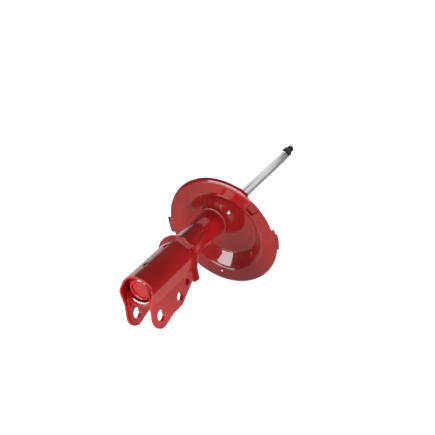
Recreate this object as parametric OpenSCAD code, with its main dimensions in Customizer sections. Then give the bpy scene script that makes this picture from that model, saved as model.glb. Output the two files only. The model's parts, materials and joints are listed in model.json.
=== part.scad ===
// Suspension strut: a twin-tube damper with a knuckle bracket and an offset spring seat.
// Every piece is drawn in the damper's own frame: Z up the rod, zero at the bracket's lower edge.
// in_part() then moves it so that the origin lies on the lower knuckle bolt, midway between the ears.

/* [Reserve tube] */
// Outside diameter of the reserve tube
tube_d = 53; // [50:0.5:55]
// Wall of the reserve tube
tube_wall = 2.5; // [1.8:0.1:3]
// Height of the tube's closed top end
tube_top = 338; // [337:1:360]
// Height of the tube's lower edge inside the bracket
tube_foot = 3; // [0:0.5:8]
// Depth of the pressed dish in the bottom cap
cap_dish = 3.4; // [3.4:0.1:10]
// Sheet of the bottom cap
cap_sheet = 2.6; // [2:0.1:4]

/* [Knuckle bracket] */
// Sheet of the knuckle bracket
bracket_sheet = 3.8; // [3:0.1:5]
// Height of the bracket's flared collar
bracket_top = 126; // [115:1:140]
// How far the collar's flange stands out
collar_w = 6.5; // [6:0.5:12]
// Slope of the collar, falling towards the ears
collar_tilt = 8; // [0:0.5:10]
// Distance between the outer faces of the ears
ear_span = 60; // [56:0.2:62]
// Distance from the damper's middle plane to each shoulder ridge
ridge_y = 38; // [36:0.5:40]
// Distance from the rod's axis to the bolt holes
hole_reach = 48.5; // [46:0.5:56]
// Height of the lower bolt hole
hole_low = 4; // [0:0.5:10]
// Distance between the two bolt holes
hole_pitch = 59; // [52:0.5:68]
// Radius of the lower bolt hole
hole_low_r = 10.5; // [8:0.25:11.5]
// Radius of the upper bolt hole
hole_up_r = 8.5; // [6:0.25:9.5]
// Radius of each ear round the lower hole
ear_tip_r = 23; // [20:0.5:26]
// Radius of the hose clip's hole in the near ear
clip_hole_r = 6; // [3:0.25:6]
// Sheet of the inner channel
channel_sheet = 3; // [2:0.1:4]

/* [Spring seat] */
// Outside radius of the spring seat
seat_r = 117; // [110:1:126]
// How far the seat's centre is offset towards the ears
seat_offset = 32; // [24:1:38]
// Height of the seat's underside at its centre
seat_z = 258; // [250:1:275]
// Tilt of the seat, rising towards the ears
seat_tilt = 3; // [0:0.5:6]
// Sheet of the seat
seat_sheet = 3; // [2:0.1:4]
// Height of the seat's upturned lip
seat_lip = 9; // [8.5:0.5:16]
// Radius where the flat of the seat meets its crown
crown_foot_r = 86; // [78:1:92]
// Radius of the crown's flat top
crown_top_r = 62; // [54:1:70]
// Rise of the crown inside the spring
crown_rise = 27; // [16:1:36]
// How far the neck reaches down below the seat's underside
neck_drop = 12; // [8:0.5:18]

/* [Rod and piston] */
// Diameter of the chromed rod
rod_d = 22; // [18:0.5:24]
// Gap from the tube's cap up to the rod's shoulder, with the rod fully in
shoulder_gap = 45.5; // [24:0.5:50]
// Diameter of the top thread
stud_d = 14; // [12:0.5:15]
// Length of the top thread
stud_len = 34; // [30:1:50]
// Diameter of the lower thread, which carries the piston
tail_d = 12; // [10:0.5:12]
// Bore of the pressure tube
bore_d = 30; // [29:0.5:32]
// Wall of the pressure tube
bore_wall = 1.6; // [1.2:0.1:2]
// Stroke of the rod
stroke = 150; // [130:1:152]
// Distance from the rebound collar's foot down to the rod's lower shoulder
bearing_span = 62; // [50:1:80]
// Height of the piston
piston_h = 16; // [14:0.5:22]
// Lift of each check plate
plate_lift = 1.2; // [0.8:0.1:1.5]
// Width of the top nut across its flats
nut_af = 19; // [18:0.5:22]
// Height of the top nut
nut_h = 13; // [9:0.5:14]

/* [Hidden] */
$fn = 96;

// Clearances
press_gap = 0.03;    // pieces pressed together
run_gap = 0.05;      // a shaft that slides in its bush
wrap_gap = 0.1;      // formed sheet round a tube
guide_gap = 0.2;     // a check plate round its hub
seat_gap = 0.02;     // flat pieces that lie on each other
cut = 1;             // how far a cutter passes through

// Radii of the tubes
tube_r = tube_d / 2;
tube_in = tube_r - tube_wall;
bore_r = bore_d / 2;
bore_out = bore_r + bore_wall;
rod_r = rod_d / 2;
stud_r = stud_d / 2;
tail_r = tail_d / 2;

// Bottom cap
cap_in = 20.5;       // radius of the well
cap_edge = 1.4;      // fillet at the well's floor
cap_mouth = 2;       // rounding of the well's mouth
cap_corner = 2;      // rounding of the corner inside the tube
cap_floor = tube_foot + cap_dish;
cap_top = cap_floor + cap_sheet;

// Knuckle bracket
wrap_in = tube_r + wrap_gap;
wrap_out = wrap_in + bracket_sheet;
bracket_nip = 0.3;   // the tube's bed cut into the back of the bracket's bend
back_out = wrap_out - bracket_nip;
back_x = (ridge_y ^ 2 - back_out ^ 2) / (2 * back_out);   // centre of the bracket's wide back
back_r = back_x + back_out;
collar_bend = 5;     // radius of the bend under the collar
knee_x = 24;         // where the sides meet the flat ears
knee_r = 8;
ridge_r = 4;         // rounding of the shoulder ridge
flange_end = 50;     // where the ear's flange stops
flange_corner = 6;
hole_up = hole_low + hole_pitch;
ear_corner = 5;      // how far the ear's lower corner hangs below the wrap
ear_step = 20;       // where the ear's lower edge changes slope
ear_drop = 12;       // how far it has dropped there
waist_x = 65;        // the ear's outer edge between the holes
shoulder_x = 43;     // the ear's outer edge under the flange
clip_x = 36;
clip_z = 92;
weld_r = 6.5;        // plug welds on the bracket's back
weld_deep = 2.4;
weld_turn = 180;
weld_low = 40;
weld_pitch = 62;
channel_inset = 4;   // how far the channel stays inside the ears' edge
channel_top = 104;
cradle_foot = -4;

// Spring seat
seat_bend = 8;       // outer radius of the lip's bend
crown_bend = 5;
neck_in = tube_r + wrap_gap;
neck_foot = seat_z - neck_drop;
neck_flare_r = 48;   // where the neck's cone reaches the crown
neck_straight = 5;
weld_w = 4;
drain_r = 3;
drain_out = 96;
drain_turn = 18;
stop_turn = -121;    // the pressed stop for the spring's end
stop_w = 9;
stop_drop = 5;
stop_from = 92;
tab_sites = [[-80, 121], [95, 125]];   // angle and outer radius of each tab
tab_half = 8;
gap_turn = -113;     // the lip is cut away here, outside the stop
gap_half = 20;

// Top end of the tube
lip_sheet = tube_wall;
lip_in = 19.5;
lip_bend = 4;
washer_h = 2;
washer_in = rod_r + 1;
seal_h = 9;
washer_z = tube_top - lip_sheet - washer_h;
seal_z = washer_z - seal_h;
guide_rim_h = 14;
guide_z = seal_z - guide_rim_h;
spigot_h = 9;
guide_foot = guide_z - spigot_h;
bush_wall = 1.5;
bush_h = 14;
cap_sheet_top = 1.5;
bumper_skirt = 15;
bumper_hole = rod_r + 1.5;
bumper_top = tube_top + cap_sheet_top;
rod_shoulder = bumper_top + stroke + shoulder_gap;
notch_count = 4;
notch_w = 5;

// Foot valve
foot_r = bore_out + 0.6;
foot_z = cap_top;
foot_step = 7;
foot_face = foot_z + foot_step + 3;
foot_skirt_h = 4;
foot_skirt_in = 13;
hub_h = plate_lift + 2.4;
hub_r = 8.2;
plate_h = 0.8;
plate_out = 13.4;
port_out = 11.4;
port_out_r = 1.3;
port_in = 5.9;
port_in_r = 1;
bolt_r = 3;
bolt_head_r = 10.4;
bolt_head_h = 2;
rivet_r = 4.6;
rivet_h = 1.6;
shim_h = 0.3;
port_count = 6;
spring_sheet = 0.3;
foot_hub_top = foot_face + hub_h;

// Rod, piston and valves, with the rod fully out
bumper_h = 11;
collar_h = 5;
collar_out = 14;
collar_groove = 0.8;
bumper_ring_z = guide_foot - 0.3 - bumper_h;
collar_z = bumper_ring_z - collar_h;
tail_shoulder = collar_z - bearing_span;
stop_h = 2;
stop_r = 10.4;
piston_hub_r = 7.3;
piston_hub_h = plate_lift + 2.4;
piston_top = tail_shoulder - stop_h - piston_hub_h;
piston_foot = piston_top - piston_h;
ring_h = 8;
ring_wall = 1.15;
ring_play = 0.05;
ring_out = bore_r - run_gap;
ring_in = ring_out - ring_wall;
ring_z = piston_foot + (piston_h - ring_h) / 2;
piston_r = bore_r - 0.25;
piston_port_in = 9;
piston_port_in_r = 1.1;
piston_port_out = 11.6;
piston_port_out_r = 1.1;
shim_count = 4;
shim_big = 10.3;
shim_step = 0.9;
shims_z = piston_foot - shim_count * shim_h;
clamp_h = 1.5;
clamp_r = 7.4;
clamp_z = shims_z - clamp_h;
tail_nut_af = 18;
tail_nut_h = 10;
tail_nut_z = clamp_z - tail_nut_h;
tail_end = tail_nut_z - 2;
chamfer = 1;
stud_top = rod_shoulder + stud_len;
groove_r = stud_r - 0.8;
groove_h = 3;
nut_z = rod_shoulder + groove_h + 2;

// ---------- helpers ----------

// Moves a piece from the damper's own frame to the part's frame
module in_part() {
    translate([-hole_reach, 0, -hole_low]) children();
}

// Points along an arc, from angle a to angle b in degrees
function arc(cx, cy, r, a, b, steps = 8) =
    [for (i = [0 : steps]) let (t = a + (b - a) * i / steps) [cx + r * cos(t), cy + r * sin(t)]];

// A ring from radius inner to outer, standing on z
module ring(inner, outer, z, h) {
    translate([0, 0, z])
        difference() {
            cylinder(h = h, r = outer);
            translate([0, 0, -cut]) cylinder(h = h + 2 * cut, r = inner);
        }
}

// Round holes through the height range, evenly spaced on a circle
module ports(at, r, count, turn, z, h) {
    for (i = [0 : count - 1])
        rotate([0, 0, turn + i * 360 / count])
            translate([at, 0, z - cut]) cylinder(h = h + 2 * cut, r = r, $fn = 24);
}

// A hexagon prism with the given width across its flats
module hexagon(af, z, h) {
    translate([0, 0, z]) cylinder(h = h, r = af / 2 / cos(30), $fn = 6);
}

// A hex nut with chamfered corners and a plain bore
module hex_nut(af, bore, z, h) {
    corner = af / 2 / cos(30);
    bevel = corner - af / 2;
    difference() {
        intersection() {
            hexagon(af, z, h);
            rotate_extrude()
                polygon([
                    [0, z], [af / 2, z], [corner, z + bevel * 0.6],
                    [corner, z + h - bevel * 0.6], [af / 2, z + h], [0, z + h]
                ]);
        }
        translate([0, 0, z - cut]) cylinder(h = h + 2 * cut, r = bore);
    }
}

// A cone washer that works as the return spring of a check plate
module cone_spring(r_low, r_high, z, h) {
    rotate_extrude()
        polygon([
            [r_low, z], [r_low, z + spring_sheet], [r_high, z + h],
            [r_high - 1, z + h], [r_high - 1, z + h - spring_sheet], [r_low - 1, z]
        ]);
}

// ---------- tube, cap and bracket ----------

module reserve_tube() {
    color("firebrick") in_part()
        rotate_extrude()
            polygon(concat(
                [[tube_in, tube_foot], [tube_r, tube_foot]],
                arc(tube_r - lip_bend, tube_top - lip_bend, lip_bend, 0, 90),
                [
                    [lip_in, tube_top], [lip_in, tube_top - lip_sheet],
                    [tube_in, tube_top - lip_sheet]
                ]
            ));
}

module bottom_cap() {
    cap_r = tube_in - press_gap;
    color("firebrick") in_part()
        rotate_extrude()
            polygon(concat(
                [[0, cap_floor]],
                arc(cap_in - cap_edge, cap_floor - cap_edge, cap_edge, 90, 0),
                arc(cap_in + cap_mouth, tube_foot + cap_mouth, cap_mouth, 180, 270),
                [[cap_r, tube_foot]],
                arc(cap_r - cap_corner, cap_top - cap_corner, cap_corner, 0, 90),
                [[0, cap_top]]
            ));
}

// Side outline of the bracket, in X and Z, with both ears drawn in by inset
module side_outline(inset, back) {
    tip = ear_tip_r - inset;
    polygon(concat(
        [
            [back, inset], [-2 * ear_corner, inset],
            [-ear_corner, inset - ear_corner], [ear_step, inset - ear_drop]
        ],
        arc(hole_reach, hole_low, tip, -112, 8, 20),
        [
            [waist_x - inset, hole_low + hole_pitch / 2],
            [waist_x - inset, hole_up],
            [shoulder_x - inset, bracket_top - 3 * collar_w],
            [shoulder_x - inset, 2 * bracket_top],
            [back, 2 * bracket_top]
        ]
    ));
}

// Unit vector to the left of the way from a to b
function side_of(a, b) = let (v = b - a) [-v[1], v[0]] / norm(v);

// Corner b of the path a, b, c, moved by d to its left
function mitre(a, b, c, d) =
    let (n = side_of(a, b), m = side_of(b, c)) b + d * (n + m) / (1 + n * m);

// Rounds corner b of the path a, b, c with radius r
function rounded(a, b, c, r, steps = 4) =
    let (
        u = (a - b) / norm(a - b),
        v = (c - b) / norm(c - b),
        half = acos(u * v) / 2,
        centre = b + (u + v) / norm(u + v) * r / sin(half),
        from = b + u * r / tan(half) - centre,
        to = b + v * r / tan(half) - centre
    )
    [for (i = [0 : steps])
        let (w = from * (1 - i / steps) + to * i / steps) centre + w / norm(w) * r];

// Half of the bracket's section, from the ear to its shoulder ridge.
// The path is the sheet's outer face moved inwards by d. Past the ridge it runs on, clear of the
// wide arc through both ridges that closes the back.
function half_section(d) =
    let (
        ridge = [0, ridge_y],
        ear_y = ear_span / 2,
        far = [2 * hole_reach, ear_y],
        knee = [knee_x, ear_y],
        back_end = ridge + [-ridge_y, -back_x] / ridge_y * 2 * ridge_r,
        knee_d = mitre(far, knee, ridge, d),
        ridge_d = mitre(knee, ridge, back_end, d),
        far_d = far - [0, d],
        end_d = [back_x, 0] + (back_end - [back_x, 0]) * (back_r - d) / norm(back_end - [back_x, 0])
    )
    concat(
        [far_d],
        rounded(far_d, knee_d, ridge_d, knee_r + d),
        rounded(knee_d, ridge_d, end_d, max(ridge_r - d, 0.5)),
        [end_d + (end_d - ridge_d) * back_r / ridge_r]
    );

function mirrored(points) = [for (p = backwards(points)) [p[0], -p[1]]];
function backwards(points) = [for (i = [len(points) - 1 : -1 : 0]) points[i]];

// Closed outline of everything inside the sheet's face at depth d
module inside_outline(d) {
    half = half_section(d);
    intersection() {
        polygon(concat(half, mirrored(half)));
        union() {
            translate([back_x, 0]) circle(r = back_r - d);
            translate([back_x, -2 * back_r]) square([2 * hole_reach, 4 * back_r]);
        }
    }
}

// The bent sheet as a tall prism
module bent_sheet() {
    translate([0, 0, -tube_d])
        linear_extrude(height = 2 * bracket_top + tube_d)
            difference() {
                inside_outline(0);
                inside_outline(bracket_sheet);
            }
}

// Moves a piece on to the collar's sloping plane
module on_collar() {
    translate([0, 0, bracket_top]) rotate([0, collar_tilt, 0]) children();
}

// The flange and the bend under it, built as layers that step out along the bend
module collar() {
    steps = 4;
    for (i = [0 : steps - 1])
        let (
            t = 90 * (i + 1) / steps,
            out = collar_bend * (1 - cos(t)),
            foot = -bracket_sheet - collar_bend * (1 - sin(t - 90 / steps)),
            h = bracket_sheet + collar_bend * (sin(t) - sin(t - 90 / steps))
        )
            translate([0, 0, foot])
                linear_extrude(height = h)
                    difference() {
                        flange_outline(-out);
                        inside_outline(bracket_sheet - max(0, out - bracket_sheet / 2));
                    }
    translate([0, 0, -bracket_sheet])
        linear_extrude(height = bracket_sheet)
            difference() {
                flange_outline(-collar_w);
                inside_outline(-collar_bend / 2);
            }
}

// The section's outer face grown by -d and cut off square past the ears
module flange_outline(d) {
    intersection() {
        inside_outline(d);
        union() {
            translate([-2 * tube_d, -2 * tube_d])
                square([2 * tube_d + flange_end - flange_corner, 4 * tube_d]);
            translate([-tube_d, -ear_span / 2 - collar_w + flange_corner])
                square([tube_d + flange_end, ear_span + 2 * collar_w - 2 * flange_corner]);
            for (side = [-1, 1])
                translate([flange_end - flange_corner, side * (ear_span / 2 + collar_w - flange_corner)])
                    circle(r = flange_corner, $fn = 32);
        }
    }
}

module knuckle_bracket() {
    color("firebrick") in_part()
        difference() {
            union() {
                intersection() {
                    bent_sheet();
                    translate([0, 2 * tube_d, 0]) rotate([90, 0, 0])
                        linear_extrude(height = 4 * tube_d) side_outline(0, -2 * tube_d);
                    on_collar()
                        translate([-2 * tube_d, -2 * tube_d, -3 * bracket_top])
                            cube([6 * tube_d, 4 * tube_d, 3 * bracket_top - bracket_sheet]);
                }
                on_collar() collar();
            }
            // Bolt holes through both ears, and the clip's hole in one
            bolt_hole(hole_low, hole_low_r);
            bolt_hole(hole_up, hole_up_r);
            translate([clip_x, 0, clip_z]) rotate([90, 0, 0]) cylinder(h = tube_d, r = clip_hole_r);
            weld_sites(weld_r + press_gap);
            cylinder(h = 2 * bracket_top, r = wrap_in);
        }
}

module bolt_hole(z, r) {
    translate([hole_reach, tube_d, z]) rotate([90, 0, 0]) cylinder(h = 2 * tube_d, r = r);
}

// Two round sites on the bracket's back
module weld_sites(r) {
    for (i = [0 : 1])
        translate([0, 0, weld_low + i * weld_pitch])
            rotate([0, 90, weld_turn]) cylinder(h = 2 * tube_d, r = r, $fn = 32);
}

module plug_welds() {
    color("firebrick") in_part()
        intersection() {
            ring(wrap_in, wrap_out - weld_deep, 0, bracket_top);
            weld_sites(weld_r);
        }
}

// The channel before trimming: a cradle round the tube that runs out into two flats along the ears
module channel_block() {
    y_out = ear_span / 2 - bracket_sheet - seat_gap;
    y_in = y_out - channel_sheet;
    r_out = wrap_in + channel_sheet;
    translate([0, 0, cradle_foot])
        linear_extrude(height = channel_top - cradle_foot)
            intersection() {
                difference() {
                    circle(r = r_out);
                    circle(r = wrap_in);
                }
                translate([0, -y_out]) square([r_out, 2 * y_out]);
            }
    for (side = [0, 1])
        mirror([0, side])
            translate([(r_out ^ 2 - y_out ^ 2) ^ 0.5, y_in, -tube_d])
                cube([2 * hole_reach, channel_sheet, channel_top + tube_d]);
}

module bracket_channel() {
    color("firebrick") in_part()
        difference() {
            intersection() {
                channel_block();
                translate([0, 2 * tube_d, 0]) rotate([90, 0, 0])
                    linear_extrude(height = 4 * tube_d) side_outline(channel_inset, 0);
            }
            bolt_hole(hole_low, hole_low_r);
            bolt_hole(hole_up, hole_up_r);
        }
}

// ---------- spring seat ----------

// Places a piece on the seat's own tilted centre line
module on_seat() {
    translate([seat_offset, 0, seat_z]) rotate([0, -seat_tilt, 0]) children();
}

// Underside of the dish from its axis out to the lip's bend, raised by lift
function dish_line(lift) = [
    [0, crown_rise + lift],
    [crown_top_r - crown_bend, crown_rise + lift],
    [crown_top_r + crown_bend * 0.3, crown_rise - crown_bend * 0.4 + lift],
    [crown_foot_r - crown_bend * 0.3, crown_bend * 0.4 + lift],
    [crown_foot_r + crown_bend, lift]
];

// The pressed dish with its crown and upturned lip, before the neck is drawn
module dish_sheet() {
    bend_r = seat_r - seat_bend;
    rotate_extrude()
        polygon(concat(
            dish_line(0),
            arc(bend_r, seat_bend, seat_bend, -90, 0),
            [[seat_r, seat_lip], [seat_r - seat_sheet, seat_lip]],
            arc(bend_r, seat_bend, seat_bend - seat_sheet, 0, -90),
            backwards(dish_line(seat_sheet))
        ));
}

// Everything under the dish's upper face, which trims the neck
module below_dish() {
    rotate_extrude()
        polygon(concat(
            [[0, -tube_d], [crown_foot_r, -tube_d]],
            [[crown_foot_r + crown_bend, seat_sheet]],
            backwards(dish_line(seat_sheet))
        ));
}

// The neck: a short sleeve on the tube that flares into a cone
module neck_sheet(solid) {
    root = neck_in + seat_sheet;
    bend_z = neck_foot + neck_straight;
    rise = seat_z + crown_rise - bend_z;
    slope = atan2(rise, neck_flare_r - root);
    shift = seat_sheet / sin(slope);
    far_r = neck_flare_r + rise / tan(slope);
    far_z = bend_z + 2 * rise;
    rotate_extrude()
        polygon(concat(
            [[solid ? 0 : neck_in, neck_foot], [root, neck_foot], [root, bend_z], [far_r, far_z]],
            solid ? [[0, far_z]] : [[far_r - shift, far_z], [root - shift, bend_z]]
        ));
}

// Radial section of the pressed stop for the spring's end
module stop_section(grow) {
    half = stop_w - grow;
    polygon([
        [-half - stop_drop / 2, seat_sheet - grow], [-half, -stop_drop + seat_sheet - grow],
        [half, -stop_drop + seat_sheet - grow], [half + stop_drop / 2, seat_sheet - grow]
    ]);
}

module stop_block(grow) {
    rotate([0, 0, stop_turn])
        translate([stop_from + grow, 0, 0])
            rotate([90, 0, 90])
                linear_extrude(height = seat_r - seat_bend + grow - stop_from) stop_section(grow);
}

// Two short flats that stand out from the lip, one on each side
module lip_tabs() {
    for (site = tab_sites)
        intersection() {
            ring(seat_r - seat_sheet, site[1], seat_lip - seat_sheet, seat_sheet);
            wedge(site[0], tab_half, -cut);
        }
}

// A tall wedge about the seat's axis, from height z up
module wedge(turn, half, z) {
    reach = 2 * seat_r;
    rotate([0, 0, turn])
        translate([0, 0, z])
            linear_extrude(height = tube_d)
                polygon([[0, 0], [reach, -reach * tan(half)], [reach, reach * tan(half)]]);
}

module spring_seat() {
    color("firebrick") in_part()
        difference() {
            union() {
                difference() {
                    on_seat() {
                        dish_sheet();
                        stop_block(0);
                        lip_tabs();
                    }
                    neck_sheet(true);
                }
                intersection() {
                    neck_sheet(false);
                    on_seat() below_dish();
                }
            }
            translate([0, 0, neck_foot - tube_d]) cylinder(h = 3 * tube_d, r = neck_in);
            on_seat() {
                stop_block(seat_sheet / 2);
                difference() {
                    wedge(gap_turn, gap_half, seat_sheet);
                    translate([0, 0, -cut]) cylinder(h = 2 * tube_d, r = seat_r - seat_bend - cut);
                }
                rotate([0, 0, drain_turn])
                    translate([drain_out, 0, -cut])
                        cylinder(h = seat_sheet + 2 * cut, r = drain_r, $fn = 32);
            }
        }
}

module seat_weld() {
    color("firebrick") in_part()
        translate([0, 0, neck_foot])
            rotate_extrude()
                polygon(concat(
                    [[tube_r + run_gap, -seat_gap]],
                    arc(tube_r + run_gap, -seat_gap, weld_w, 0, -90, 5)
                ));
}

// ---------- top end of the tube ----------

module bumper_cap() {
    skirt_in = tube_r + press_gap;
    skirt_out = skirt_in + cap_sheet_top;
    color("silver") in_part()
        difference() {
            rotate_extrude()
                polygon(concat(
                    [[skirt_in, tube_top - bumper_skirt], [skirt_out, tube_top - bumper_skirt]],
                    arc(skirt_out - lip_bend, bumper_top + seat_gap - lip_bend, lip_bend, 0, 90),
                    [
                        [bumper_hole, bumper_top + seat_gap], [bumper_hole, tube_top + seat_gap],
                        [tube_r - lip_bend, tube_top + seat_gap]
                    ],
                    arc(skirt_in - lip_bend + press_gap, tube_top + seat_gap - lip_bend,
                        lip_bend - press_gap, 90, 0)
                ));
            for (i = [0 : notch_count - 1])
                rotate([0, 0, 45 + i * 360 / notch_count])
                    translate([0, -notch_w / 2, tube_top - lip_bend])
                        cube([bumper_hole + notch_w, notch_w, tube_d]);
        }
}

module seal_washer() {
    color("lightgrey") in_part()
        ring(washer_in, tube_in - press_gap, washer_z + seat_gap, washer_h - 2 * seat_gap);
}

module rod_seal() {
    lip_h = 3;
    body_in = rod_r + 2.2;
    color("dimgrey") in_part()
        rotate_extrude()
            polygon([
                [rod_r + run_gap, seal_z + lip_h], [rod_r + run_gap, seal_z + lip_h + 1],
                [body_in, seal_z + lip_h + 3], [body_in - 1.4, seal_z + seal_h - 1],
                [body_in - 1.4, seal_z + seal_h], [tube_in - press_gap, seal_z + seal_h],
                [tube_in - press_gap, seal_z + seat_gap], [body_in + 1, seal_z + seat_gap]
            ]);
}

module rod_guide() {
    well_h = 4;
    bush_out = rod_r + run_gap + bush_wall + press_gap;
    color("grey") in_part()
        rotate_extrude()
            polygon([
                [bush_out, guide_foot], [bore_r - press_gap - 1, guide_foot],
                [bore_r - press_gap, guide_foot + 1], [bore_r - press_gap, guide_z],
                [tube_in - press_gap - 2, guide_z], [tube_in - press_gap, guide_z + 2],
                [tube_in - press_gap, seal_z], [bore_out, seal_z],
                [bore_out - 2, seal_z - well_h], [bush_out, seal_z - well_h]
            ]);
}

module guide_bush() {
    color("peru") in_part()
        ring(rod_r + run_gap, rod_r + run_gap + bush_wall, guide_foot + 1, bush_h);
}

module pressure_tube() {
    color("silver") in_part()
        ring(bore_r, bore_out, foot_z + foot_step + seat_gap, guide_z - foot_z - foot_step - 2 * seat_gap);
}

// ---------- foot valve ----------

module foot_valve_body() {
    slot_w = 6;
    color("grey") in_part()
        difference() {
            rotate_extrude()
                polygon([
                    [bolt_r + press_gap, foot_z + foot_skirt_h], [foot_skirt_in, foot_z + foot_skirt_h],
                    [foot_skirt_in, foot_z + seat_gap], [foot_r, foot_z + seat_gap],
                    [foot_r, foot_z + foot_step], [bore_r - press_gap, foot_z + foot_step],
                    [bore_r - press_gap, foot_face], [hub_r, foot_face],
                    [hub_r, foot_hub_top], [bolt_r + press_gap, foot_hub_top]
                ]);
            ports(port_out, port_out_r, port_count, 0, foot_z, foot_hub_top - foot_z);
            ports(port_in, port_in_r, port_count, 30, foot_z, foot_hub_top - foot_z);
            for (i = [0 : 3])
                rotate([0, 0, 45 + i * 90])
                    translate([foot_skirt_in - cut, -slot_w / 2, foot_z - cut])
                        cube([foot_r, slot_w, cut + 2.5]);
        }
}

module foot_valve_shims() {
    top = foot_z + foot_skirt_h - seat_gap;
    color("silver") in_part()
        difference() {
            for (i = [0 : 2])
                translate([0, 0, top - (i + 1) * shim_h])
                    cylinder(h = shim_h, r = hub_r - i * shim_step);
            translate([0, 0, foot_z]) cylinder(h = foot_step, r = bolt_r + press_gap);
        }
}

module foot_valve_bolt() {
    head_z = foot_hub_top + seat_gap;
    rivet_top = foot_z + foot_skirt_h - 3 * shim_h - 2 * seat_gap;
    color("silver") in_part() {
        difference() {
            union() {
                translate([0, 0, head_z]) cylinder(h = bolt_head_h, r = bolt_head_r);
                translate([0, 0, rivet_top - rivet_h]) cylinder(h = rivet_h, r = rivet_r);
                translate([0, 0, rivet_top - cut]) cylinder(h = head_z - rivet_top + 2 * cut, r = bolt_r);
            }
            ports(port_in, port_in_r, port_count, 30, head_z, bolt_head_h);
        }
    }
}

module foot_valve_spring() {
    color("silver") in_part()
        cone_spring(plate_out - 0.6, hub_r + 1.6, foot_face + plate_h + 2 * seat_gap,
                    hub_h - plate_h - 3 * seat_gap);
}

module foot_check_plate() {
    color("silver") in_part()
        ring(hub_r + guide_gap, plate_out, foot_face + seat_gap, plate_h);
}

// ---------- rod and piston ----------

module piston_rod() {
    collar_r = rod_r - collar_groove;
    color("lightgrey") in_part()
        rotate_extrude()
            polygon([
                [0, tail_end], [tail_r - chamfer, tail_end], [tail_r, tail_end + chamfer],
                [tail_r, tail_shoulder], [rod_r, tail_shoulder],
                [rod_r, collar_z], [collar_r, collar_z],
                [collar_r, collar_z + collar_h], [rod_r, collar_z + collar_h],
                [rod_r, rod_shoulder - chamfer], [rod_r - chamfer, rod_shoulder],
                [groove_r, rod_shoulder], [groove_r, rod_shoulder + groove_h],
                [stud_r, rod_shoulder + groove_h + stud_r - groove_r],
                [stud_r, stud_top - chamfer], [stud_r - chamfer, stud_top], [0, stud_top]
            ]);
}

module rebound_collar() {
    color("silver") in_part()
        ring(rod_r - collar_groove + press_gap, collar_out, collar_z + seat_gap, collar_h - 2 * seat_gap);
}

module rebound_bumper() {
    inner = rod_r + wrap_gap;
    bulge = 1;
    color("black") in_part()
        rotate_extrude()
            polygon(concat(
                [[inner, bumper_ring_z], [collar_out - bulge, bumper_ring_z]],
                arc(collar_out - bulge - bumper_h, bumper_ring_z + bumper_h / 2,
                    bumper_h + bulge / 2, -25, 25),
                [[collar_out - bulge, bumper_ring_z + bumper_h], [inner, bumper_ring_z + bumper_h]]
            ));
}

module piston_stop() {
    color("silver") in_part()
        ring(tail_r + press_gap, stop_r, tail_shoulder - stop_h + seat_gap, stop_h - 2 * seat_gap);
}

module piston_spring() {
    color("silver") in_part()
        cone_spring(plate_out - 0.8, piston_hub_r + 2.2, piston_top + plate_h + 2 * seat_gap,
                    piston_hub_h - plate_h - 3 * seat_gap);
}

module piston_check_plate() {
    color("silver") in_part()
        difference() {
            ring(piston_hub_r + guide_gap, plate_out - 0.4, piston_top + seat_gap, plate_h);
            ports(piston_port_in, piston_port_in_r, port_count, 30, piston_top, plate_h);
        }
}

module piston() {
    land = 0.5;
    groove = ring_in - ring_play;
    color("grey") in_part()
        difference() {
            rotate_extrude()
                polygon([
                    [tail_r + press_gap, piston_foot], [piston_r - land, piston_foot],
                    [piston_r, piston_foot + land], [piston_r, ring_z],
                    [groove, ring_z], [groove, ring_z + ring_h], [piston_r, ring_z + ring_h],
                    [piston_r, piston_top - land], [piston_r - land, piston_top],
                    [piston_hub_r, piston_top], [piston_hub_r, piston_top + piston_hub_h],
                    [tail_r + press_gap, piston_top + piston_hub_h]
                ]);
            ports(piston_port_in, piston_port_in_r, port_count, 30, piston_foot, piston_h);
            ports(piston_port_out, piston_port_out_r, port_count, 0, piston_foot, piston_h);
        }
}

module piston_ring() {
    color("saddlebrown") in_part()
        ring(ring_in, ring_out, ring_z + ring_play, ring_h - 2 * ring_play);
}

module rebound_shims() {
    color("silver") in_part()
        difference() {
            for (i = [0 : shim_count - 1])
                translate([0, 0, piston_foot - seat_gap - (i + 1) * shim_h])
                    cylinder(h = shim_h, r = shim_big - i * shim_step);
            translate([0, 0, shims_z - cut]) cylinder(h = piston_h, r = tail_r + press_gap);
        }
}

module shim_washer() {
    color("silver") in_part()
        ring(tail_r + press_gap, clamp_r, clamp_z, clamp_h - 2 * seat_gap);
}

module piston_nut() {
    color("silver") in_part()
        hex_nut(tail_nut_af, tail_r + press_gap, tail_nut_z, tail_nut_h - seat_gap);
}

module top_nut() {
    color("black") in_part()
        hex_nut(nut_af, stud_r + run_gap, nut_z, nut_h);
}

reserve_tube();
bottom_cap();
knuckle_bracket();
bracket_channel();
plug_welds();
spring_seat();
seat_weld();
bumper_cap();
pressure_tube();
foot_valve_body();
foot_valve_shims();
foot_valve_bolt();
foot_valve_spring();
foot_check_plate();
rod_guide();
guide_bush();
rod_seal();
seal_washer();
piston_rod();
rebound_collar();
rebound_bumper();
piston();
piston_ring();
piston_stop();
piston_spring();
piston_check_plate();
rebound_shims();
shim_washer();
piston_nut();
top_nut();
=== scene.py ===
# %% [markdown]
# # A suspension strut
# A strut is the damper of a car's front wheel and the post that the wheel hangs on. This one lies
# on a white floor, its bracket towards the viewer. A solid model gives every piece its place, its
# size and the way it moves. To model all of that again here would only invite errors, so this
# script keeps the solids and adds the camera, the light, the finishes and the fine detail.

# %% Load the solid model
import json
import math

import bpy
from mathutils import Matrix, Vector


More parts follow.
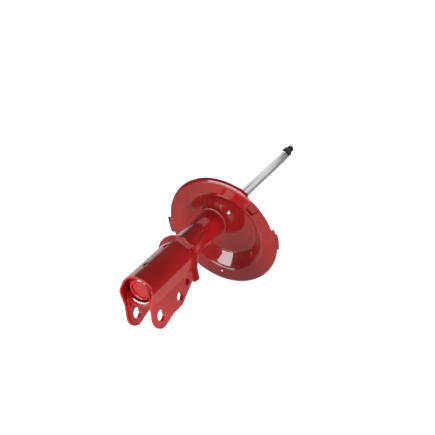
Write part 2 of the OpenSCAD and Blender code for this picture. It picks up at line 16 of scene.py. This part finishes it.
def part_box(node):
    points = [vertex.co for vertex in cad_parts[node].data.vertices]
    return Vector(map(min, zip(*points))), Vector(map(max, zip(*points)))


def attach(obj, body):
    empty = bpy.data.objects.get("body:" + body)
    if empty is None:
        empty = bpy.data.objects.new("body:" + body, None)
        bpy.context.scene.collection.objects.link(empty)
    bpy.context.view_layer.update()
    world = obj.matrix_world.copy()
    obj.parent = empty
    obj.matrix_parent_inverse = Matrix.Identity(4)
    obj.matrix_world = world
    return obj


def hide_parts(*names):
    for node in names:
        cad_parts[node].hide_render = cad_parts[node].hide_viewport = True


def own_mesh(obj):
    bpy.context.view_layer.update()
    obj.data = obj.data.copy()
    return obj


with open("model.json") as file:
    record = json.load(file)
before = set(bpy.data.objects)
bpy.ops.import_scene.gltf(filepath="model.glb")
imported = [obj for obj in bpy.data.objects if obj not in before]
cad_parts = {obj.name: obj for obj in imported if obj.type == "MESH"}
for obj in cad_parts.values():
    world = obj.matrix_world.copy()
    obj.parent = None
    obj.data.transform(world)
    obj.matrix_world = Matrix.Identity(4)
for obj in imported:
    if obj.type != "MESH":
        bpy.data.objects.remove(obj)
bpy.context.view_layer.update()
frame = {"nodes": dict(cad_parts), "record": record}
MM = 0.001

# %% [markdown]
# ## Camera
# The camera stands low, near the bracket's end, and looks along the strut. A camera can be aimed
# with a constraint, but that leaves its roll open. Three axes in the strut's own frame, where Z
# runs up the rod, give the place, the aim and the roll together.

# %% Camera
CAM_PLACE = Vector((-0.74508, -0.98764, -0.95781))
CAM_RIGHT = Vector((0.26116, -0.81709, 0.51397))
CAM_UP = Vector((-0.87543, 0.02386, 0.48276))
FOCAL_MM = 74.4
SENSOR_MM = 36
FARTHEST = 100

back = CAM_RIGHT.cross(CAM_UP).normalized()
right = CAM_RIGHT.normalized()
up = back.cross(right)
camera_data = bpy.data.cameras.new("camera")
camera_data.sensor_width = SENSOR_MM
camera_data.lens = FOCAL_MM
camera_data.clip_end = FARTHEST
camera = bpy.data.objects.new("camera", camera_data)
bpy.context.scene.collection.objects.link(camera)
turn = Matrix((right, up, back)).transposed().to_4x4()
camera.matrix_world = Matrix.Translation(CAM_PLACE) @ turn
bpy.context.scene.camera = camera
print("camera", [round(c, 3) for c in CAM_PLACE])

# %% [markdown]
# ## Floor
# The strut rests on three points: the tips of both ears and the rim of the spring seat. It could
# be dropped in a physics run, but the floor can be worked out exactly, as the plane that touches
# both the round of the ears' tips and the round of the rim's rolled edge.

# %% Floor
EAR_TIP_R = 23 * MM
RIM_AT = Vector((0.09193, 0, 0.26769))
RIM_BEND_R = 8 * MM
FLOOR_HALF = 30

span = RIM_AT.length
lean = math.asin((EAR_TIP_R - RIM_BEND_R) / span)
along = RIM_AT.normalized()
square = Vector((along.z, 0, -along.x))
down = (math.cos(lean) * square + math.sin(lean) * along).normalized()
floor_up = -down
floor_along = Vector((0, 1, 0)).cross(floor_up).normalized()
if floor_along.z < 0:
    floor_along = -floor_along
floor_side = floor_up.cross(floor_along)

corners = [
    down * EAR_TIP_R + FLOOR_HALF * (i * floor_along + j * floor_side)
    for i, j in ((-1, -1), (1, -1), (1, 1), (-1, 1))
]
floor_mesh = bpy.data.meshes.new("floor")
floor_mesh.from_pydata([tuple(c) for c in corners], [], [(0, 1, 2, 3)])
floor = bpy.data.objects.new("floor", floor_mesh)
bpy.context.scene.collection.objects.link(floor)
if floor_mesh.polygons[0].normal.dot(floor_up) < 0:
    floor_mesh.flip_normals()
print("floor normal", [round(c, 3) for c in floor_up])

# %% [markdown]
# ## Shader helpers
# Every finish below is a small graph of shader nodes. Placed one at a time, their links soon hide
# what is worked out. `Value` wraps the output of a node, so that maths reads as plain arithmetic,
# and `Graph` makes every other node with one method.


# %% Value
class Value:
    """The output of a shader node. Arithmetic on it adds Math nodes."""

    def __init__(self, graph, socket):
        self.graph = graph
        self.socket = socket

    def math(self, operation, other, swap=False, clamp=False):
        first, second = (other, self) if swap else (self, other)
        settings = {"operation": operation, "use_clamp": clamp}
        return self.graph.node("ShaderNodeMath", settings, {0: first, 1: second})

    def __add__(self, other):
        return self.math("ADD", other)

    def __radd__(self, other):
        return self.math("ADD", other, swap=True)

    def __sub__(self, other):
        return self.math("SUBTRACT", other)

    def __rsub__(self, other):
        return self.math("SUBTRACT", other, swap=True)

    def __mul__(self, other):
        return self.math("MULTIPLY", other)

    def __rmul__(self, other):
        return self.math("MULTIPLY", other, swap=True)

    def __truediv__(self, other):
        return self.math("DIVIDE", other)

    def __rtruediv__(self, other):
        return self.math("DIVIDE", other, swap=True)

    def clamped(self):
        return self.math("ADD", 0.0, clamp=True)

    def steps(self, low, high):
        """0 below low, 1 above high and a straight ramp between."""
        return ((self - low) / (high - low)).clamped()


print("reflected forms", [name for name in vars(Value) if name.startswith("__r")])


# %% Graph
class Graph:
    """The nodes of one material, or of the world."""

    def __init__(self, owner, output="ShaderNodeOutputMaterial"):
        owner.use_nodes = True
        self.owner = owner
        self.tree = owner.node_tree
        self.tree.nodes.clear()
        self.out = self.tree.nodes.new(output)

    def node(self, kind, settings=None, inputs=None, output=0):
        """Adds a node with its settings and the values or links of its sockets."""
        made = self.tree.nodes.new(kind)
        for key, value in (settings or {}).items():
            setattr(made, key, value)
        for key, value in (inputs or {}).items():
            if isinstance(value, Value):
                self.tree.links.new(value.socket, made.inputs[key])
            else:
                made.inputs[key].default_value = value
        return Value(self, made.outputs[output])

    def place(self, scale=(1, 1, 1)):
        """Where a point lies on its own piece, stretched by a scale."""
        coords = self.node("ShaderNodeTexCoord", output="Object")
        return self.node("ShaderNodeMapping", {}, {"Vector": coords, "Scale": scale})

    def noise(self, scale, detail=2.0, stretch=(1, 1, 1)):
        inputs = {"Vector": self.place(stretch), "Scale": scale, "Detail": detail}
        return self.node("ShaderNodeTexNoise", {}, inputs)

    def mix(self, factor, first, second):
        """A colour between two others. The Mix node keeps its colours in sockets 6, 7 and 2."""
        inputs = {0: factor, 6: first, 7: second}
        return self.node("ShaderNodeMix", {"data_type": "RGBA"}, inputs, 2)

    def bump(self, height, distance, strength=1.0):
        inputs = {"Height": height, "Distance": distance, "Strength": strength}
        return self.node("ShaderNodeBump", {}, inputs)

    def surface(self, shader):
        self.tree.links.new(shader.socket, self.out.inputs["Surface"])
        return self.owner

    def principled(self, inputs):
        return self.surface(self.node("ShaderNodeBsdfPrincipled", {}, inputs))


print("a graph makes", [name for name in vars(Graph) if not name.startswith("_")])

# %% [markdown]
# ## Red paint
# The welded steel is dipped in gloss red paint. A picture of painted steel would show its own
# light and its own edges, so the paint is made from noise alone: a clear coat over a deep red that
# varies a little, with the fine peel and the faint runs that dipping leaves, and specks of dust.

# %% Red paint
DEEP_RED = (0.32, 0.002, 0.003, 1)
FULL_RED = (0.42, 0.004, 0.005, 1)
DUST_PINK = (0.5, 0.16, 0.16, 1)


def red_paint():
    g = Graph(bpy.data.materials.new("red_paint"))
    cloud = g.noise(14.0, 3.0)
    peel = g.noise(420.0, 2.0)
    runs = g.noise(45.0, 2.0)
    dust = g.noise(1500.0, 1.0).steps(0.66, 0.74)
    base = g.mix(cloud.steps(0.35, 0.65), DEEP_RED, FULL_RED)
    base = g.mix(dust * 0.25, base, DUST_PINK)
    return g.principled({
        "Base Color": base,
        "Roughness": 0.38 + 0.1 * cloud,
        "Coat Weight": 1.0 - 0.4 * dust,
        "Coat Roughness": 0.05,
        "Coat IOR": 1.85,
        "Specular IOR Level": 0.2,
        "Normal": g.bump(0.3 * peel + runs, 0.0005, 0.5),
    })


FINISH = {"red_paint": red_paint()}
print("paint nodes", len(FINISH["red_paint"].node_tree.nodes))

# %% [markdown]
# ## Chrome
# The rod is ground and hard-chromed, as the seal rubs on it. A perfect mirror would look like
# glass, so the noise is squeezed along the rod into fine rings, which the grinding wheel leaves,
# and a second noise wipes them out in places, as an oily cloth does.

# %% Chrome
GRIND_SQUEEZE = (1, 1, 60)


def chrome():
    g = Graph(bpy.data.materials.new("chrome"))
    rings = g.noise(60.0, 3.0, GRIND_SQUEEZE)
    wipe = g.noise(30.0, 4.0)
    return g.principled({
        "Base Color": g.mix(wipe, (0.78, 0.79, 0.81, 1), (0.88, 0.89, 0.91, 1)),
        "Metallic": 1.0,
        "Roughness": 0.20 + 0.10 * rings * wipe,
        "Normal": g.bump(rings, 0.00001, 0.4),
    })


FINISH["chrome"] = chrome()
print("chrome nodes", len(FINISH["chrome"].node_tree.nodes))

# %% [markdown]
# ## Other finishes
# The cap on the tube's end is zinc-plated, the nut and the thread are blackened, and the pieces
# inside are drawn, blued, sintered or moulded. A graph for each would say the same thing eight
# times. They differ only in two colours, a roughness and a grain, so one function makes them all
# from a table.


# %% Metals, rubber and plastic
def metal(name, dark, light, rough, grain=180.0, stretch=(1, 1, 1), metallic=1.0, relief=0.00003):
    g = Graph(bpy.data.materials.new(name))
    spots = g.noise(grain, 4.0, stretch)
    cloud = g.noise(25.0, 3.0)
    return g.principled({
        "Base Color": g.mix((0.5 * spots + 0.5 * cloud).steps(0.3, 0.7), dark, light),
        "Metallic": metallic,
        "Roughness": rough + 0.2 * (spots - 0.5) + 0.1 * (cloud - 0.5),
        "Normal": g.bump(spots, relief, 0.6),
    })


OTHER_FINISHES = {
    "zinc": ((0.55, 0.57, 0.60, 1), (0.74, 0.76, 0.79, 1), 0.30, {}),
    "drawn_steel": ((0.36, 0.36, 0.37, 1), (0.52, 0.52, 0.53, 1), 0.35,
                    {"grain": 120.0, "stretch": (1, 1, 0.05)}),
    "spring_steel": ((0.20, 0.21, 0.26, 1), (0.34, 0.35, 0.41, 1), 0.28, {}),
    "sintered": ((0.14, 0.14, 0.145, 1), (0.27, 0.27, 0.28, 1), 0.55,
                 {"grain": 900.0, "relief": 0.0001}),
    "bronze": ((0.42, 0.24, 0.11, 1), (0.62, 0.40, 0.20, 1), 0.35, {}),
    "rubber": ((0.018, 0.018, 0.018, 1), (0.035, 0.035, 0.035, 1), 0.75,
               {"grain": 500.0, "metallic": 0.0}),
    "ptfe": ((0.16, 0.08, 0.035, 1), (0.27, 0.14, 0.07, 1), 0.55,
             {"grain": 400.0, "metallic": 0.0}),
    "black_steel": ((0.012, 0.012, 0.014, 1), (0.035, 0.035, 0.04, 1), 0.42,
                    {"grain": 600.0, "metallic": 0.4}),
}
for name, (dark, light, rough, more) in OTHER_FINISHES.items():
    FINISH[name] = metal(name, dark, light, rough, **more)
print("finishes", sorted(FINISH))

# %% Finishes on the solids
for part in frame["record"]["subparts"]:
    materials = frame["nodes"][part["node"]].data.materials
    materials.clear()
    materials.append(FINISH[part["material_slot"]])

# %% [markdown]
# ## Rounded edges
# Stamped and painted sheet has no knife edges: the paint draws back over a small radius, and that
# radius is what catches the light. A bevel modifier adds it to the spring seat, the channel and the
# nut and leaves their meshes alone. The bracket goes without: its wrap is one long curve of narrow
# faces, and a bevel with weighted normals would streak it.

# %% Rounded edges
EDGE_ROUND = {"bracket_channel": 0.5, "spring_seat": 0.5, "top_nut": 0.4}
JOIN_WITHIN = 0.01 * MM
EDGE_ANGLE = 40

for node, radius in EDGE_ROUND.items():
    modifiers = frame["nodes"][node].modifiers
    welding = modifiers.new("join_faces", "WELD")
    welding.merge_threshold = JOIN_WITHIN
    rounding = modifiers.new("paint_edge", "BEVEL")
    rounding.width = radius * MM
    rounding.segments = 2
    rounding.limit_method = "ANGLE"
    rounding.angle_limit = math.radians(EDGE_ANGLE)
    shading = modifiers.new("flat_faces_stay_flat", "WEIGHTED_NORMAL")
    shading.mode = "FACE_AREA_WITH_ANGLE"
    shading.keep_sharp = True
print("rounded", len(EDGE_ROUND), "pieces")

# %% [markdown]
# ## Rod and stud
# The rod is ground bright, and its end is a rolled, blackened thread. A plain solid has one finish
# and no thread, so the rod is made here as two pieces. The bar is turned on a lathe, and the thread
# is a grid whose radius rises and falls as the screw climbs, which stays closed where a swept
# ridge would cross itself. Both keep the size of the solid that they replace.

# %% Pieces round the rod's axis
ROD_X = -48.5 * MM
SMOOTH_BEND = 35


def placed(name, mesh, bend=SMOOTH_BEND):
    """Links a mesh as a new piece, smooth but for edges sharper than bend degrees."""
    mesh.shade_smooth()
    mesh.set_sharp_from_angle(angle=math.radians(bend))
    piece = bpy.data.objects.new(name, mesh)
    bpy.context.scene.collection.objects.link(piece)
    return piece


def round_axis(radius, angle, height):
    """A point at an angle round the rod's axis, from millimetres."""
    return ROD_X + radius * MM * math.cos(angle), radius * MM * math.sin(angle), height * MM


print("the rod's axis lies at x =", ROD_X)


# %% Lathe
def turned(name, outline, around=96):
    """Spins an outline of (radius, height) in millimetres about the rod's axis."""
    rings = []
    vertices = []
    for radius, height in outline:
        count = around if radius > 0 else 1
        rings.append(range(len(vertices), len(vertices) + count))
        for k in range(count):
            vertices.append(round_axis(radius, 2 * math.pi * k / around, height))
    faces = []
    for low, high in zip(rings, rings[1:]):
        for k in range(around):
            after = (k + 1) % around
            corners = [
                low[k % len(low)], low[after % len(low)],
                high[after % len(high)], high[k % len(high)],
            ]
            faces.append(list(dict.fromkeys(corners)))
    mesh = bpy.data.meshes.new(name)
    mesh.from_pydata(vertices, [], faces)
    return placed(name, mesh)


print("lathe ready")

# %% Screw
STEPS_PER_PITCH = 8
FLANK_SLOPE = 2.6
ROOT_FLAT = 0.6
THREAD_BEND = 50


def screw_outline(share, low, high, root, crest, pitch):
    """Radii up one side of a thread, at a share of a turn."""
    step = pitch / STEPS_PER_PITCH
    points = []
    for k in range(round((high - low) / step) + 1):
        height = low + k * step
        phase = (height / pitch - share) % 1
        ridge = min(1, max(0, FLANK_SLOPE * (1 - abs(2 * phase - 1)) - ROOT_FLAT))
        fade = min(1, (high - height) / pitch)
        points.append((root + (crest - root) * ridge * fade, height))
    return points


def screw(name, low, high, root, crest, pitch, around=64):
    """A round bar with an outside thread, closed at both ends."""
    columns = [screw_outline(k / around, low, high, root, crest, pitch) for k in range(around)]
    rows = len(columns[0])
    vertices = []
    for k, column in enumerate(columns):
        angle = 2 * math.pi * k / around
        vertices += [round_axis(radius, angle, height) for radius, height in column]
    faces = []
    for k in range(around):
        here, after = k * rows, (k + 1) % around * rows
        for j in range(rows - 1):
            faces.append((here + j, after + j, after + j + 1, here + j + 1))
    faces.append([k * rows for k in reversed(range(around))])
    faces.append([k * rows + rows - 1 for k in range(around)])
    mesh = bpy.data.meshes.new(name)
    mesh.from_pydata(vertices, [], faces)
    return placed(name, mesh, THREAD_BEND)


print("screw ready")

# %% Rod and stud
ROD_R = 11
TAIL_R = 6
STUD_R = 7
STUD_ROOT = 6.1
STUD_PITCH = 1.5
STUD_LONG = 34
TAIL_CHAMFER = 1
TOP_CHAMFER = 1.6
TOP_BREAK = 0.5
STOP_GAP = 0.02
COLLAR_SEAT = ROD_R - 0.8

rod_low, rod_high = (corner[2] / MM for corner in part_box("piston_rod"))
rod_shoulder = rod_high - STUD_LONG
tail_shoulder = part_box("piston_stop")[1][2] / MM + STOP_GAP
collar_low, collar_high = (corner[2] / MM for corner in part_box("rebound_collar"))

rod = turned("ground_rod", [
    (0, rod_low), (TAIL_R - TAIL_CHAMFER, rod_low), (TAIL_R, rod_low + TAIL_CHAMFER),
    (TAIL_R, tail_shoulder), (ROD_R, tail_shoulder),
    (ROD_R, collar_low), (COLLAR_SEAT, collar_low),
    (COLLAR_SEAT, collar_high), (ROD_R, collar_high),
    (ROD_R, rod_shoulder - TOP_CHAMFER), (ROD_R - TOP_BREAK, rod_shoulder - TOP_BREAK),
    (ROD_R - TOP_CHAMFER, rod_shoulder), (0, rod_shoulder),
])
stud = screw("stud_thread", rod_shoulder, rod_high, STUD_ROOT, STUD_R, STUD_PITCH)
for piece, finish in ((rod, "chrome"), (stud, "black_steel")):
    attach(piece, "rod")
    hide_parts("piston_rod")
    piece.data.materials.append(FINISH[finish])
print("stud", round(rod_high - rod_shoulder, 1), "mm long")

# %% [markdown]
# ## Tube with a necked end
# To the eye the tube and its cap are one closed shell. The tube is necked in over the cap, so its
# rim is a cone at half a right angle that catches the light from the front, about a shallow well
# with a slightly domed plate. A bevel on the two plain solids would leave the seam between them
# open, so one outline is turned for both.

# %% Tube shell
TUBE_R = 26.5
TUBE_WALL = 2.5
TOP_RIM = 4
ROLL_R = 2
NECK_IN = 8.5
WELL_DEPTH = 3.4
WELL_PLATE = [(15.6, 0), (14.8, 0), (14.2, -0.7), (10, -1.1), (5, -1.3), (0, -1.4)]


def arc_points(radius, height, size, start, end, count):
    """Points on an arc of a given size, between two angles in degrees."""
    angles = [math.radians(start + (end - start) * k / count) for k in range(count + 1)]
    return [(radius + size * math.cos(a), height + size * math.sin(a)) for a in angles]


tube_low, tube_high = (corner[2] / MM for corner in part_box("reserve_tube"))
cap_low, cap_high = (corner[2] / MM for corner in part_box("bottom_cap"))
well = cap_low + WELL_DEPTH
tube_shell = turned("tube_shell", [
    (0, cap_high), (TUBE_R - TUBE_WALL, cap_high), (TUBE_R - TUBE_WALL, tube_high - TUBE_WALL),
    (TUBE_R - TOP_RIM, tube_high - TUBE_WALL), (TUBE_R - TOP_RIM, tube_high),
    *arc_points(TUBE_R - ROLL_R, tube_high - ROLL_R, ROLL_R, 90, 0, 6),
    *arc_points(TUBE_R - ROLL_R, tube_low + NECK_IN, ROLL_R, 0, -45, 6),
    *arc_points(TUBE_R - NECK_IN, tube_low + ROLL_R, ROLL_R, -45, -180, 14),
    *((radius, well + drop) for radius, drop in WELL_PLATE),
])
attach(tube_shell, "damper_body")
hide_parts("reserve_tube", "bottom_cap")
tube_shell.data.materials.append(FINISH["red_paint"])
print("tube", tube_low, tube_high, "cap", cap_low, cap_high)

# %% [markdown]
# ## Weld beads
# The seat's neck is welded to the tube all round, under the paint. The channel's cradle is welded
# to the tube's lower edge, and that bead is given the light zinc finish as a painted highlight, for
# the white gloss that its ripples catch. A robot's bead is a row of small overlapping ripples, and
# bump alone wouldn't show them in its outline. So each bead is a bent rod whose thickness swells
# and shrinks along its way, with every ripple trailing at its sides.

# %% Weld bead
BEAD_SIDES = 12
STEPS_PER_RIPPLE = 6
RIPPLE_LAG = 0.35
BEAD_END = 0.25
BEAD_GROWTH = 9
BEAD_BEND = 60


def bead_faces(count, closed, total):
    """Joins rings of vertices along a bead, and closes its ends unless it meets itself."""
    faces = []
    for k in range(count):
        here, after = k * BEAD_SIDES, (k + 1) * BEAD_SIDES % total
        for near in range(BEAD_SIDES):
            far = (near + 1) % BEAD_SIDES
            faces.append((here + near, after + near, after + far, here + far))
    if not closed:
        faces.append(list(reversed(range(BEAD_SIDES))))
        faces.append(list(range(total - BEAD_SIDES, total)))
    return faces


def weld_bead(name, finish, ring_r, height, start, end, thick, ripple, swell):
    """A rippled bead round the tube's axis, between two angles in degrees."""
    closed = end - start >= 360
    length = math.radians(end - start) * ring_r
    count = round(length / (ripple / STEPS_PER_RIPPLE))
    vertices = []
    for k in range(count + (not closed)):
        share = k / count
        angle = math.radians(start + (end - start) * share)
        taper = 1 if closed else min(1, BEAD_END + BEAD_GROWTH * min(share, 1 - share))
        for j in range(BEAD_SIDES):
            tilt = 2 * math.pi * j / BEAD_SIDES
            lag = RIPPLE_LAG * math.cos(tilt) ** 2
            wave = math.cos(2 * math.pi * (length * share / ripple + lag))
            size = thick * taper * (1 + swell * wave)
            out, rise = ring_r + size * math.cos(tilt), height + size * math.sin(tilt)
            vertices.append(round_axis(out, angle, rise))
    mesh = bpy.data.meshes.new(name)
    mesh.from_pydata(vertices, [], bead_faces(count, closed, len(vertices)))
    piece = placed(name, mesh, BEAD_BEND)
    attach(piece, "damper_body")
    piece.data.materials.append(FINISH[finish])
    print(name, len(vertices), "vertices")
    return piece


# %% Weld beads
weld_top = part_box("seat_weld")[1][2] / MM
seat_bead = weld_bead(
    "seat_bead", "red_paint", ring_r=TUBE_R + 1.2, height=weld_top - 1.7,
    start=0, end=360, thick=2.3, ripple=2.2, swell=0.07,
)
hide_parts("seat_weld")
# The cradle's bead takes the zinc finish as a painted highlight: its light colour stands in for
# gloss.
weld_bead(
    "cradle_bead_painted_highlight", "zinc", ring_r=TUBE_R + 0.4, height=tube_low - 0.2,
    start=-50, end=50, thick=2.6, ripple=5.0, swell=0.18,
)
print("the seat's bead tops out at", round(weld_top, 1), "mm")

# %% [markdown]
# ## Valve springs
# Behind each valve's check plate lies a light spring that holds the plate on its seat, and gives
# way when oil lifts the plate. Here each spring is a copy of its solid with a mesh of its own, on
# the body that carries it, and the solid is hidden.


def valve_spring(name, node, body):
    """A copy of a spring's solid, with a mesh of its own, on the body that carries it."""
    solid = frame["nodes"][node]
    spring = bpy.data.objects.new(name, solid.data.copy())
    bpy.context.scene.collection.objects.link(spring)
    spring.matrix_world = solid.matrix_world
    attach(spring, body)
    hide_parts(node)
    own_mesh(spring)


valve_spring("foot_spring", "foot_valve_spring", "damper_body")
valve_spring("plate_spring", "piston_spring", "rod")

# %% [markdown]
# ## Floor finish
# The strut lies on white paper. A plain white floor turns grey where the lamps don't reach it, and
# more light would bleach the strut. So the paper gives off a little light to the camera alone, a
# little less near the strut, where it keeps the strut's shadow. The gloss of the paint mirrors it
# as a dull grey, and it can be seen through from below.

# %% Floor finish
PAPER_WHITE = (0.9, 0.9, 0.9, 1)
PAPER_MIRRORED = (0.15, 0.15, 0.15, 1)
GLOW_ALWAYS = 0.05
GLOW_MIRRORED = 0.24
GLOW_NEAR = 0.78
GLOW_ADDED_FAR = 0.22
SHADOW_REACH = (0.3, 1.2)


def floor_finish():
    g = Graph(bpy.data.materials.new("floor"))
    seen = g.node("ShaderNodeLightPath", output="Is Camera Ray")
    mirrored = g.node("ShaderNodeLightPath", output="Is Glossy Ray")
    reach = g.node("ShaderNodeVectorMath", {"operation": "LENGTH"}, {0: g.place()}, "Value")
    paper = g.mix(mirrored, PAPER_WHITE, PAPER_MIRRORED)
    shade = g.node("ShaderNodeBsdfDiffuse", {}, {"Color": paper})
    to_camera = GLOW_NEAR + GLOW_ADDED_FAR * reach.steps(*SHADOW_REACH)
    lift = GLOW_ALWAYS + GLOW_MIRRORED * mirrored + seen * to_camera
    glow = g.node("ShaderNodeEmission", {}, {"Color": (1, 1, 1, 1), "Strength": lift})
    both = g.node("ShaderNodeAddShader", {}, {0: shade, 1: glow})
    clear = g.node("ShaderNodeBsdfTransparent")
    below = g.node("ShaderNodeNewGeometry", output="Backfacing")
    return g.surface(g.node("ShaderNodeMixShader", {}, {0: below, 1: both, 2: clear}))


floor.data.materials.append(floor_finish())
print("floor nodes", len(floor.data.materials[0].node_tree.nodes))

# %% [markdown]
# ## Light
# A picture of a studio wrapped round the scene would be quick, but its reflections can't be moved
# one by one. So the room is nearly dark, which keeps the paint deep red on top, and each lamp has
# one task. A wide softbox hangs high in front and a low strip stands before the strut: both are
# there for their reflections in the gloss. Softer lamps in front and to the right shape the paint,
# and a level lamp at the foot throws light upwards as white paper does. A large dim lamp behind
# gives the tube its pale edge, and two small ones light the bright rod.

# %% Room
world = bpy.data.worlds.new("room")
bpy.context.scene.world = world
room = Graph(world, "ShaderNodeOutputWorld")
dark = room.node("ShaderNodeBackground", {}, {"Color": (0.035, 0.035, 0.038, 1)})
in_gloss = room.node("ShaderNodeBackground", {}, {"Color": (0.06, 0.06, 0.062, 1)})
white = room.node("ShaderNodeBackground", {}, {"Color": (1, 1, 1, 1), "Strength": 1.05})
seen = room.node("ShaderNodeLightPath", output="Is Camera Ray")
mirrored = room.node("ShaderNodeLightPath", output="Is Glossy Ray")
unseen = room.node("ShaderNodeMixShader", {}, {0: mirrored, 1: dark, 2: in_gloss})
room.surface(room.node("ShaderNodeMixShader", {}, {0: seen, 1: unseen, 2: white}))
bpy.context.scene.view_settings.view_transform = "Standard"
print("room nodes", len(room.tree.nodes))


# %% Lamp
def lamp(name, direction, distance, size, watts, target, hidden_from):
    """An area lamp aimed at a target from a direction: up, along and sideways over the floor."""
    data = bpy.data.lights.new(name, "AREA")
    data.shape = "RECTANGLE"
    data.size, data.size_y = size
    data.energy = watts
    obj = bpy.data.objects.new(name, data)
    bpy.context.scene.collection.objects.link(obj)
    rise, forward, sideways = direction
    way = (rise * floor_up + forward * floor_along + sideways * floor_side).normalized()
    aim = way.to_track_quat("Z", "Y")
    obj.matrix_world = Matrix.Translation(target + distance * way) @ aim.to_matrix().to_4x4()
    for ray in hidden_from:
        setattr(obj, "visible_" + ray, False)


print("lamps are placed over a floor at", round(EAR_TIP_R / MM), "mm from the lower bolt")

# %% Lamps
CENTRE = Vector((-0.03, 0, 0.24))
FOOT = Vector((-0.03, -0.14, -0.06))
ROD_MIDDLE = Vector((ROD_X, 0, 0.50))
LAMP_LIFT = 4 * MM
foot_to_floor = FOOT.dot(floor_up) + EAR_TIP_R - LAMP_LIFT
FROM_DIFFUSE = ["diffuse"]
FROM_GLOSS = ["glossy"]
FROM_CAMERA = ["camera"]

# name, direction, distance, size, watts, target, and the rays that it is hidden from
LAMPS = [
    ("front", (0.55, -0.82, -0.02), 1.2, (1.35, 0.62), 12.5, CENTRE, FROM_DIFFUSE),
    ("low_front", (0.07, -0.98, 0.05), 0.8, (1.1, 0.16), 1.6, CENTRE, FROM_DIFFUSE),
    ("soft_front", (0.55, -0.82, -0.02), 1.2, (0.8, 0.4), 3.2, CENTRE, FROM_GLOSS),
    ("right", (-0.03, 0.36, -0.93), 1.2, (0.9, 0.2), 11.5, CENTRE, FROM_GLOSS),
    ("foot_fill", (0.02, -0.99, 0.12), 0.6, (0.3, 0.2), 1.3, CENTRE, FROM_GLOSS + FROM_CAMERA),
    ("bounce", (-1, 0, 0), foot_to_floor, (0.55, 0.5), 1.15, FOOT, FROM_GLOSS + FROM_CAMERA),
    ("right_glint", (0.13, -0.21, -0.97), 1.3, (0.3, 0.2), 1.8, CENTRE, []),
    ("behind", (0.34, 0.65, 0.68), 1.8, (1.5, 1.7), 7, CENTRE, []),
    ("beside_rod", (0.36, 0.66, -0.66), 0.5, (0.50, 0.45), 0.5, ROD_MIDDLE, FROM_CAMERA),
    ("over_rod", (0.72, 0.62, 0.24), 0.5, (0.52, 0.45), 0.52, ROD_MIDDLE, FROM_CAMERA),
]
for row in LAMPS:
    lamp(*row)
print("lamps", [row[0] for row in LAMPS])

# %% [markdown]
